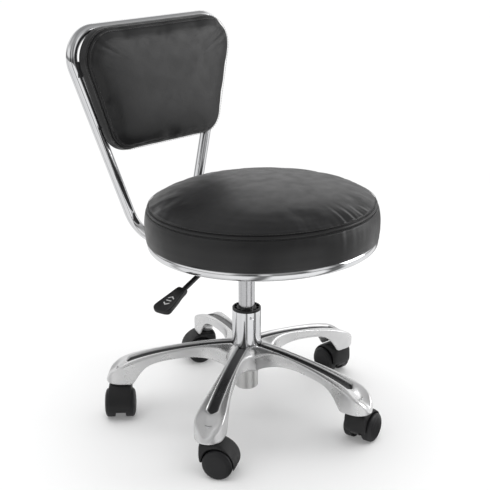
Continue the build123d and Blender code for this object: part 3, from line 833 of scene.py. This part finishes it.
def stitches(name, points, body, length=3.3, radius=0.42):
    """Thread stitches: points are (place, direction, outward) in millimetres, one for each stitch."""
    verts, faces = [], []
    sides = 6
    for place, direction, outward in points:
        side = direction.cross(outward).normalized()
        rings = []
        for at, size, sink in ((-1, 0.35, 0.55), (-0.72, 0.9, 0.12), (0, 1.0, -0.05), (0.72, 0.9, 0.12),
                               (1, 0.35, 0.55)):
            ring = []
            for k in range(sides):
                angle = 2 * math.pi * k / sides
                offset = side * math.cos(angle) + outward * math.sin(angle)
                ring.append(len(verts))
                verts.append(place + direction * at * length / 2 + offset * radius * size - outward * sink)
            rings.append(ring)
        faces += strip(rings) + [tuple(rings[0]), tuple(reversed(rings[-1]))]
    piece = new_object(name, verts, faces)
    return finish_piece(piece, thread_finish(), body)


# --- seat cushion ---------------------------------------------------------------------
# Section of the cover about the seat's axis, above the ring's centre plane.
COLUMNS = 480
SEAT_SECTION = [(140, 10.1), (165, 10.1), (177, 10.1), (182.4, 9.95), (187.3, 8.7), (190.3, 6.2), (191.5, 4.9),
                (192.7, 5.5), (193.2, 8.0), (194.2, 16), (194.8, 26), (194.9, 35), (194.3, 44), (192.9, 52),
                (190.9, 58), (188.7, 63), (185.0, 67.6), (178.5, 72.4), (166, 77.8), (146, 83.0), (118, 88.2),
                (85, 92.4), (45, 95.8), (12, 96.9), (4, 97.0)]
SEAM_AT_Z = 63.0
STITCH_DROP = 7.0            # second row of stitches, below the seam
PITCH = 4.7
# Gathers above the seam: bearing in degrees, width in degrees, height and length in millimetres
SEAT_GATHERS = [(-118, 1.6, 0.9, 22), (-113.5, 1.3, -0.8, 26), (-108, 1.9, 0.7, 20), (-100, 1.3, -0.7, 18),
                (-93.5, 1.2, 1.5, 27), (-91.2, 1.0, -1.3, 30), (-87.0, 1.3, 1.7, 25), (-84.2, 1.0, -1.4, 26),
                (-79.0, 1.2, 1.3, 22), (-76.3, 1.0, -1.0, 20), (-71.5, 1.2, 1.1, 19), (-66, 1.4, -0.7, 17)]


def gathers(seed, count, height, circle=360.0):
    """Soft seeded folds all round a seam, as (bearing, width, height, length)."""
    rng = np.random.default_rng(seed)
    folds = []
    for _ in range(count):
        folds.append((rng.uniform(0, circle), rng.uniform(1.0, 2.6), rng.uniform(-height, height),
                      rng.uniform(10, 26)))
    return folds


def folded(folds, at, climb, circle=360.0):
    """Height of the folds at a bearing, climb millimetres past the seam."""
    if climb <= 0:
        return 0.0
    total = 0.0
    for bearing, width, height, length in folds:
        off = (at - bearing + circle / 2) % circle - circle / 2
        if abs(off) < 3 * width:
            rise = ease(climb / 4) * bell(climb, length)
            total += height * bell(off, width) * rise
    return total


def seam_relief(off):
    """Relief across the seam and its second stitch row; off is the distance past the seam."""
    relief = -2.1 * bell(off, 1.15) + 0.8 * bell(off - 4.2, 3.0)
    relief += 1.2 * bell(off + 3.4, 2.2) - 1.5 * bell(off + STITCH_DROP, 0.95)
    return relief + 0.45 * bell(off + STITCH_DROP + 3.2, 2.4)


def seat_rows():
    """(distance, radius, height) rows of the seat's section, close together at the seam."""
    rows = along(SEAT_SECTION, lambda at: 3.0)
    seam = min(rows, key=lambda row: abs(row[2] - SEAM_AT_Z) + (0 if row[1] > 180 else 99))[0]

    def spacing(at):
        off = abs(at - seam + STITCH_DROP / 2)
        if off < 9:
            return 0.7
        return 2.0 if off < 45 else 4.0

    return along(SEAT_SECTION, spacing), seam


def seat_skin(name, move):
    """Closed cover of the seat; move(place, outward, off, bearing) shifts each point outwards."""
    rows, seam = seat_rows()
    verts, rings = [], []
    columns = COLUMNS
    for i, (at, radius, height) in enumerate(rows):
        back, ahead = rows[max(0, i - 1)], rows[min(len(rows) - 1, i + 1)]
        run = Vector((ahead[1] - back[1], ahead[2] - back[2])).normalized()
        fewer = columns
        while i > 0 and radius < 120 and fewer > 30 and 2 * math.pi * radius / fewer < 1.6:
            fewer //= 2
        columns = fewer
        ring = []
        for k in range(columns):
            angle = 2 * math.pi * k / columns
            out = Vector((run.y * math.cos(angle), run.y * math.sin(angle), -run.x))
            place = Vector((radius * math.cos(angle), radius * math.sin(angle), height))
            place += out * move(place, out, at - seam, math.degrees(angle))
            ring.append(len(verts))
            verts.append(place)
        rings.append(ring)
    faces = ring_faces(rings)
    faces.append(tuple(reversed(rings[-1])))
    faces.append(tuple(rings[0]))
    return new_object(name, verts, faces, SEAT)


def seat_cushion():
    folds = SEAT_GATHERS + gathers(11, 60, 0.38)
    near = None
    start = seat_skin("seat_start", lambda place, out, off, bearing: -4.0 * ease((off + 40) / 60))
    flat = SEAT.inverted()
    near = swelling(start, 5.0, 9.0, lambda p: (flat @ p).z < 13)
    bpy.data.objects.remove(start)
    turn = SEAT.to_3x3()

    def move(place, out, off, bearing):
        shift = seam_relief(off) + folded(folds, bearing, off)
        shift += 0.35 * folded(folds, bearing + 3, -off - STITCH_DROP)
        if near is not None:
            puffed = near(SEAT @ (place - out * 4.0 * ease((off + 40) / 60)))
            gain = puffed.dot(turn @ out) - 4.0
            shift += 0.3 * gain * ease((off + 30) / 60)
        return shift

    cover = seat_skin("seat_cushion_cover", move)
    finish_piece(cover, FINISHES["vinyl"], "seat", ["seat_cover", "seat_foam"])
    rows, seam = seat_rows()
    lines = []
    for off in (1.6, -STITCH_DROP):
        at = min(rows, key=lambda row: abs(row[0] - seam - off))
        count = int(2 * math.pi * at[1] / PITCH)
        for k in range(count):
            angle = 2 * math.pi * k / count
            direction = Vector((-math.sin(angle), math.cos(angle), 0))
            out = Vector((math.cos(angle), math.sin(angle), 0.35)).normalized()
            relief = seam_relief(off) + 0.35
            place = Vector((at[1] * math.cos(angle), at[1] * math.sin(angle), at[2])) + out * relief
            lines.append((SEAT @ place, turn @ direction, turn @ out))
    stitches("seat_stitching", lines, "seat")


seat_cushion()


# --- backrest pad ---------------------------------------------------------------------
# Heights along the pad's depth are forward of the board's middle plane.
PAD_OVER = 5.0               # pad beyond its board, all round
PAD_SLOPE = 0.29             # how fast its sides draw in downwards
PAD_TOP_CORNER = 52.0
PAD_BOTTOM_CORNER = 42.0
PAD_SECTION = [(60, -5.8), (20, -5.8), (6, -5.7), (0.5, -5.3), (-2.0, -3.6), (-3.2, 0), (-3.9, 4), (-3.9, 8),
               (-3.1, 11.4), (-1.3, 14.2), (1.2, 16.1), (5, 18.2), (10, 20.2), (18, 22.2)]
PAD_SEAM_DEPTH = 16.0
PAD_CROWN = 26.0


def pad_outline(step):
    """Closed outline of the pad: (x, y, outward x, outward y) about its middle, every step."""
    lean = math.hypot(1, PAD_SLOPE)
    corner_half = (math.pi / 2 - math.atan(PAD_SLOPE)) / 2
    board_corner = (PAD_TOP_CORNER - PAD_OVER) * (1 / math.tan(corner_half) - 1)
    top_half = BOARD_HALF + board_corner + PAD_OVER * (lean - PAD_SLOPE)
    up = BOARD_UP + PAD_OVER
    low_half = top_half - 2 * up * PAD_SLOPE
    corners = [(top_half, up, PAD_TOP_CORNER), (-top_half, up, PAD_TOP_CORNER),
               (-low_half, -up, PAD_BOTTOM_CORNER), (low_half, -up, PAD_BOTTOM_CORNER)]
    path = []
    for i, (x, y, radius) in enumerate(corners):
        here = Vector((x, y))
        back = (Vector(corners[i - 1][:2]) - here).normalized()
        ahead = (Vector(corners[(i + 1) % 4][:2]) - here).normalized()
        half = math.acos(back.dot(ahead)) / 2
        middle = here + (back + ahead).normalized() * radius / math.sin(half)
        first = here + back * radius / math.tan(half) - middle
        sweep = math.pi - 2 * half
        for k in range(25):
            turn = Matrix.Rotation(sweep * k / 24, 2)
            path.append((middle + turn @ first, (turn @ first).normalized()))
    points = []
    for (a, na), (b, nb) in zip(path, path[1:] + path[:1]):
        pieces = max(1, round((b - a).length / step))
        for k in range(pieces):
            share = k / pieces
            points.append((a.lerp(b, share), na.lerp(nb, share).normalized()))
    travel = [0.0]
    for (a, _), (b, _) in zip(points, points[1:]):
        travel.append(travel[-1] + (b - a).length)
    total = travel[-1] + (points[0][0] - points[-1][0]).length
    count = 384
    even, j = [], 0
    for k in range(count):
        at = total * k / count
        while j + 1 < len(travel) and travel[j + 1] <= at:
            j += 1
        a, na = points[j]
        b, nb = points[(j + 1) % len(points)]
        span = (travel[j + 1] if j + 1 < len(travel) else total) - travel[j]
        share = (at - travel[j]) / span
        even.append((a.lerp(b, share), na.lerp(nb, share).normalized()))
    return even, total


def pad_rows():
    rows = along(PAD_SECTION, lambda at: 3.0)
    seam = min(rows, key=lambda row: abs(row[2] - PAD_SEAM_DEPTH))[0]

    def spacing(at):
        off = abs(at - seam)
        return 0.7 if off < 8 else 2.2

    return along(PAD_SECTION, spacing), seam


def pad_relief(off):
    """Relief across the pad's seam and the stitch row inside it."""
    relief = -1.9 * bell(off, 1.1) + 0.7 * bell(off + 3.4, 2.4) + 0.55 * bell(off - 2.9, 1.7)
    return relief - 0.85 * bell(off - 5.6, 0.9) + 0.4 * bell(off - 9, 2.8)


def pad_skin(name, move):
    outline, total = pad_outline(2.0)
    rows, seam = pad_rows()
    back_rows = [row for row in rows if row[1] > 14 and row[2] < 0]
    rows = rows[len(back_rows):]
    verts, rings = [], []
    count = len(outline)

    def ring_at(shrink, at, inset, depth, run, columns):
        ring = []
        for k in range(columns):
            (x, y), (nx, ny) = outline[k * count // columns]
            out = Vector((nx * run.y, ny * run.y, run.x)).normalized()
            place = Vector((x - nx * inset, y - ny * inset, 0)) * shrink
            place.z = depth
            place += out * move(place, out, at - seam, total * k / columns)
            ring.append(len(verts))
            verts.append(place)
        return ring

    steps = [(0.08, 48), (0.25, 96), (0.45, 192), (0.7, 384), (0.85, 384)]
    start, inset, depth = back_rows[-1]
    inner_back = [ring_at(shrink, start, inset, depth, Vector((-1, 0)), columns) for shrink, columns in steps]
    rings = []
    for i, (at, inset, depth) in enumerate(rows):
        back, ahead = rows[max(0, i - 1)], rows[min(len(rows) - 1, i + 1)]
        run = Vector((ahead[1] - back[1], ahead[2] - back[2])).normalized()
        rings.append(ring_at(1.0, at, inset, depth, run, count))
    last = rows[-1]
    front = []
    for shrink in np.linspace(0.965, 0.05, 26):
        depth = last[2] + (PAD_CROWN - last[2]) * (1 - shrink ** 3.6)
        columns = count
        while columns > 48 and shrink * total / columns < 1.5:
            columns //= 2
        front.append(ring_at(shrink, last[0] + (1 - shrink) * 90, last[1], depth, Vector((1, 0.02)), columns))
    faces = ring_faces(list(reversed(inner_back + [rings[0]])))
    faces += ring_faces(rings + front)
    faces.append(tuple(inner_back[0]))
    faces.append(tuple(reversed(front[-1])))
    return new_object(name, verts, faces, BACK)


def backrest_pad():
    outline, total = pad_outline(2.0)
    count = len(outline)
    reach = [(total * k / count, p) for k, (p, _) in enumerate(outline)]
    right = min(reach, key=lambda item: (item[1] - Vector((BOARD_HALF, BOARD_UP))).length)[0]
    left = min(reach, key=lambda item: (item[1] - Vector((-BOARD_HALF, BOARD_UP))).length)[0]
    folds = [(right + off, width, height, length) for off, width, height, length in
             ((-30, 5, 1.0, 24), (-18, 4, -1.0, 30), (-8, 4, 1.2, 26), (4, 4, -0.9, 24), (14, 5, 0.8, 22))]
    folds += [(left + off, width, height, length) for off, width, height, length in
              ((-14, 5, 0.8, 20), (-2, 4, -0.8, 24), (9, 5, 0.7, 20))]
    rng = np.random.default_rng(5)
    folds += [(rng.uniform(0, total), rng.uniform(4, 9), rng.uniform(-0.35, 0.35), rng.uniform(12, 28))
              for _ in range(50)]
    near = None
    start = pad_skin("pad_start", lambda place, out, off, at: -3.0)
    flat = BACK.inverted()
    near = swelling(start, 4.5, 8.0, lambda p: (flat @ p).z < -4.0)
    bpy.data.objects.remove(start)
    turn = BACK.to_3x3()

    def move(place, out, off, at):
        shift = pad_relief(off) + folded(folds, at, off, total)
        shift += 0.5 * folded(folds, at + 6, -off - 2, total)
        if near is not None:
            gain = near(BACK @ (place - out * 3.0)).dot(turn @ out) - 3.0
            shift += 0.45 * gain * ease((off + 22) / 20)
        return shift

    cover = pad_skin("backrest_cushion_cover", move)
    finish_piece(cover, FINISHES["vinyl"], "seat", ["backrest_cover", "backrest_foam"])
    rows, seam = pad_rows()
    lines = []
    for off in (-1.6, 5.6):
        at = min(rows, key=lambda row: abs(row[0] - seam - off))
        number = int(total / PITCH)
        for k in range(number):
            spot = k * count / number
            (x, y), (nx, ny) = outline[int(spot) % count]
            x2, y2 = outline[(int(spot) + 1) % count][0]
            share = spot - int(spot)
            px, py = x + (x2 - x) * share, y + (y2 - y) * share
            direction = Vector((x2 - x, y2 - y, 0)).normalized()
            tilt = 0.6 if off < 0 else 2.0
            out = Vector((nx, ny, tilt)).normalized()
            place = Vector((px - nx * at[1], py - ny * at[1], at[2])) + out * (pad_relief(off) + 0.35)
            lines.append((BACK @ place, turn @ direction, turn @ out))
    stitches("backrest_stitching", lines, "seat")


backrest_pad()


# --- casters ----------------------------------------------------------------------------
# Local frame of one caster at the arm along +X: x along the axle, y trailing, z up.
AXLE_Y, AXLE_Z = 19.0, 25.0
HOOD_HALF = 20.0
POCKET_R = 26.2


HOOD_LINE = smooth_curve([(-16, 28.0), (20, 28.2), (45, 28.8), (62, 29.8), (76, 31.4), (90, 33.6), (104, 35.0),
                          (118, 38.2), (128, 42.2), (134, 44.0), (142, 41.4), (152, 37.2), (164, 34.0),
                          (176, 31.6), (184, 29.4)])


def hood_shell(place, name):
    """Cheeks and crown of the hood, with the web between the wheels and the stem block."""
    verts, rings = [], []
    section = [(-1, 0.0), (-1, 0.42), (-0.975, 0.74), (-0.88, 0.95), (-0.5, 1.06), (0, 1.1), (0.5, 1.06),
               (0.88, 0.95), (0.975, 0.74), (1, 0.42), (1, 0.0), (0.5, 0.0), (0, 0.0), (-0.5, 0.0)]
    stops = [184, 178, 168, 157, 146, 138, 131, 122, 110, 98, 86, 76, 66, 54, 40, 25, 10, -3, -12, -16]
    for degrees in stops:
        angle = math.radians(degrees)
        outer = HOOD_LINE(degrees)
        ring = []
        for across, share in section:
            radius = POCKET_R + (outer - POCKET_R) * share
            y = AXLE_Y + radius * math.cos(angle)
            z = min(AXLE_Z + radius * math.sin(angle), 59.0)
            ring.append(len(verts))
            verts.append((across * HOOD_HALF, y, z))
        rings.append(ring)
    faces = strip(rings) + [tuple(reversed(rings[0])), tuple(rings[-1])]
    shell = new_object(name, verts, faces, place)
    subdivided(shell, 2)
    web_line = [(-12.4, 24), (-12.6, 45), (0, 50.5), (19, 51.0), (33, 47.0), (43.0, 36.0), (45.3, 25), (44.6, 18),
                (31, 9.5), (11, 9.5), (-6, 17)]
    web = plate(name + "_web", web_line, 8.5, place)
    return join(name, [shell, web])


def plate(name, outline, half, place):
    """Plate across x with softened edges, from a (y, z) outline."""
    count = len(outline)
    middle = Vector((sum(p[0] for p in outline) / count, sum(p[1] for p in outline) / count))
    verts, rings = [], []
    for across, inset in ((-half, 1.0), (-half, 0.5), (-half + 0.5, 0.0), (half - 0.5, 0.0), (half, 0.5),
                          (half, 1.0)):
        ring = []
        for y, z in outline:
            toward = (middle - Vector((y, z))).normalized() * inset
            ring.append(len(verts))
            verts.append((across, y + toward.x, z + toward.y))
        rings.append(ring)
    faces = strip(rings) + [tuple(reversed(rings[0])), tuple(rings[-1])]
    return new_object(name, verts, faces, place, smooth=False)


def caster_place(k):
    bearing, reach = arm_place(k)
    return Matrix.Rotation(bearing, 4, "Z") @ Matrix.Translation((reach, 0, 0))


for k in range(1, ARM_COUNT + 1):
    hood = hood_shell(caster_place(k), f"caster_{k}_hood_shell")
    finish_piece(hood, FINISHES["caster_nylon"], f"caster_{k}", [f"caster_{k}_hood"])


# --- lever paddle -------------------------------------------------------------------------
def lever_place():
    """End of the lever's rod, with local X back along the rod, Y across and Z up."""
    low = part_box("lever_rod")[0] / MM
    pivot = Vector(JOINTS["lever_lift"]["pos_m"]) / MM
    drop = math.radians(LEVER_DROP)
    tip = low + Vector((LEVER_R * math.sin(drop), LEVER_R * 0.98, LEVER_R * math.cos(drop)))
    level = Vector((pivot.x - tip.x, pivot.y - tip.y, 0)).normalized()
    root = (level * math.cos(drop) + Vector((0, 0, math.sin(drop)))).normalized()
    side = Vector((0, 0, 1)).cross(root).normalized()
    up = root.cross(side)
    return Matrix.Translation(tip) @ Matrix((root, side, up)).transposed().to_4x4()


LEVER_DROP = 14.5            # degrees below the horizontal
LEVER_R = 4.0
PADDLE_ROWS = [(-42.6, 9.0), (-42, 12.4), (-39.5, 15.4), (-35.5, 16.8), (-30, 16.6), (-20, 14.9), (-8, 12.8),
               (4, 10.8), (13, 9.3), (19, 8.3), (21.4, 7.6), (22.2, 6.0)]
FINGER_GROOVES = (-30, -14, 2)


def lever_paddle():
    """Rounded paddle with a rimmed face and finger grooves under it."""
    verts, rings = [], []
    for x, half in PADDLE_ROWS:
        low = -6.0 + 2.4 * sum(bell(x - at, 5.0) for at in FINGER_GROOVES)
        end = 1.0 if -41 < x < 20 else 0.6
        ring = []
        for share, z in ((0, low), (-0.6, low + 0.2), (-0.92, low + 1.4), (-1, -0.5), (-0.985, 4.2), (-0.91, 5.7),
                         (-0.84, 5.7), (-0.79, 5.1), (0, 5.0), (0.79, 5.1), (0.84, 5.7), (0.91, 5.7), (0.985, 4.2),
                         (1, -0.5), (0.92, low + 1.4), (0.6, low + 0.2)):
            ring.append(len(verts))
            verts.append((x, share * half, z * end))
        rings.append(ring)
    faces = strip(rings) + [tuple(reversed(rings[0])), tuple(rings[-1])]
    place = lever_place()
    paddle = subdivided(new_object("lever_paddle", verts, faces, place), 2)
    finish_piece(paddle, FINISHES["black_nylon"], "lever", ["lever_handle"])
    chevron = [(-4.2, -5.2), (0, 0), (-4.2, 5.2), (-1.8, 5.2), (2.6, 0), (-1.8, -5.2)]
    bar = [(-0.9, -4.6), (-0.9, 4.6), (0.9, 4.6), (0.9, -4.6)]
    marks = []
    for n, (x, sign, outline) in enumerate(((-27, -1, chevron), (-18, 1, bar), (-9, 1, chevron))):
        count = len(outline)
        low = [(x + sign * u, v, 4.9) for u, v in outline]
        high = [(u, v, 5.3) for u, v, _ in low]
        faces = strip([list(range(count)), list(range(count, 2 * count))])
        faces += [tuple(range(count)), tuple(range(2 * count - 1, count - 1, -1))]
        marks.append(new_object(f"mark_{n}", low + high, faces, place, smooth=False))
    finish_piece(join("lever_marks", marks), paint_finish(), "lever")


lever_paddle()


# --- stage, light and camera ------------------------------------------------------------
# Brightness of the surroundings by bearing, from 0 at -180 degrees to 1 at 180 degrees
WALL_BANDS = [(0.0, 0.78), (0.03, 0.74), (0.055, 0.28), (0.085, 0.10), (0.105, 0.10), (0.12, 0.62), (0.135, 0.62),
              (0.15, 0.28), (0.20, 0.24), (0.235, 0.14), (0.26, 0.74), (0.30, 0.74), (0.33, 0.20), (0.355, 0.22),
              (0.385, 0.90), (0.62, 1.0), (0.80, 0.84), (0.83, 0.34), (0.85, 0.34), (0.88, 0.76), (1.0, 0.78)]
UPPER_BANDS = [(0.0, 0.46), (0.06, 0.34), (0.125, 0.28), (0.19, 0.34), (0.26, 0.44), (0.62, 0.26), (0.88, 0.40),
               (1.0, 0.46)]
# Dark bands painted into the floor's colour for glossy rays only: painted reflections for the metal parts.
PAINTED_FLOOR_REFLECTIONS = [(0.0, 0.66), (0.06, 0.74), (0.10, 0.70), (0.118, 0.16), (0.135, 0.16), (0.152, 0.78), (0.28, 0.78),
               (0.30, 0.13), (0.33, 0.13), (0.35, 0.70), (0.49, 0.70), (0.51, 0.20), (0.55, 0.22), (0.58, 0.62),
               (0.86, 0.70), (0.885, 0.34), (0.91, 0.70), (1.0, 0.66)]


def grey(level):
    return (level, level, level)


def studio():
    """Surroundings that are white to the camera and banded in reflections and light."""
    world = bpy.data.worlds.new("studio")
    bpy.context.scene.world = world
    world.use_nodes = True
    sky = Nodes(world.node_tree)
    axes = sky.axes(sky.add("ShaderNodeTexCoord").outputs["Generated"])
    height = axes["Z"]
    low = sky.bands(axes, WALL_BANDS)
    high = sky.bands(axes, UPPER_BANDS)
    horizon = sky.add("ShaderNodeMix", data_type="RGBA", blend_type="MULTIPLY")
    horizon.inputs["Factor"].default_value = 1.0
    sky.join(low, horizon.inputs["A"])
    sky.join(sky.ranged(height, 0.03, 0.14, 0.30, 1.0), horizon.inputs["B"])
    sides = sky.mixed(sky.ranged(height, 0.42, 0.64, 0, 1), horizon.outputs["Result"], high)
    above = sky.mixed(sky.ranged(height, 0.84, 0.97, 0, 1), sides, grey(0.28))
    seen = sky.add("ShaderNodeLightPath").outputs["Is Camera Ray"]
    shade = sky.add("ShaderNodeBackground")
    shade.inputs["Strength"].default_value = 1.0
    sky.join(sky.mixed(seen, above, grey(1.0)), shade.inputs["Color"])
    output = sky.add("ShaderNodeOutputWorld")
    sky.join(shade.outputs[0], output.inputs["Surface"])


def soft_light(name, place, target, size, power, mirrored):
    data = bpy.data.lights.new(name, "AREA")
    data.shape = "RECTANGLE"
    data.size, data.size_y = size
    data.energy = power
    lamp = bpy.data.objects.new(name, data)
    lamp.location = place
    lamp.visible_glossy = mirrored
    lamp.rotation_euler = (Vector(target) - Vector(place)).to_track_quat("-Z", "Y").to_euler()
    bpy.context.scene.collection.objects.link(lamp)


def floor():
    """Pale paper floor that glows to plain white away from the stool; to glossy rays it shows dark bands by
    bearing, painted into its colour as painted reflections for the metal parts.
    """
    size = 6.0
    mesh = bpy.data.meshes.new("floor")
    mesh.from_pydata([(-size, -size, 0), (size, -size, 0), (size, size, 0), (-size, size, 0)], [], [(0, 1, 2, 3)])
    plane = bpy.data.objects.new("floor", mesh)
    bpy.context.scene.collection.objects.link(plane)
    plane.location.z = CAD_LOW.z - 0.0002
    finish = Finish("pale_floor", specular=0.1)
    paper = finish.mixed(finish.noise(3), grey(0.93), grey(0.95))
    # Glossy rays see the painted reflection bands in place of the paper colour.
    bands = finish.bands(finish.axes(finish.place), PAINTED_FLOOR_REFLECTIONS)
    glossy = finish.add("ShaderNodeLightPath").outputs["Is Glossy Ray"]
    tone = finish.mixed(glossy, paper, bands)
    finish.colour(tone)
    finish.rough(finish.ranged(finish.noise(8), 0.3, 0.7, 0.8, 0.9))
    distance = finish.vector_math("LENGTH", finish.place)
    glow = finish.add("ShaderNodeEmission")
    glow.inputs["Strength"].default_value = 1.08
    finish.join(tone, glow.inputs["Color"])
    fade = finish.add("ShaderNodeMixShader")
    finish.join(finish.ranged(distance.outputs["Value"], 0.5, 1.8, 0.15, 1), fade.inputs[0])
    finish.join(finish.shader.outputs["BSDF"], fade.inputs[1])
    finish.join(glow.outputs[0], fade.inputs[2])
    finish.join(fade.outputs[0], finish.output.inputs["Surface"])
    mesh.materials.append(finish.material)


def camera():
    """Camera at the product picture's angle, aimed at the middle of the stool's height."""
    bearing, rise, distance = math.radians(-45.0), math.radians(19.6), 1.814
    aim = Vector((0, 0, 0.3081))
    back = Vector((math.sin(bearing) * math.cos(rise), -math.cos(bearing) * math.cos(rise), math.sin(rise)))
    data = bpy.data.cameras.new("camera")
    data.lens = 78.53
    data.shift_x = -0.0033
    eye = bpy.data.objects.new("camera", data)
    eye.location = aim + back * distance
    eye.rotation_euler = back.to_track_quat("Z", "Y").to_euler()
    bpy.context.scene.collection.objects.link(eye)
    bpy.context.scene.camera = eye


studio()
floor()
camera()
soft_light("overhead", (0.2, 0.2, 3.2), (0, 0, 0), (4.5, 4.5), 125, False)
soft_light("side", (1.9, -1.6, 0.95), (0, 0.2, 0.6), (1.3, 1.3), 13, True)
bpy.context.scene.view_settings.view_transform = "Standard"
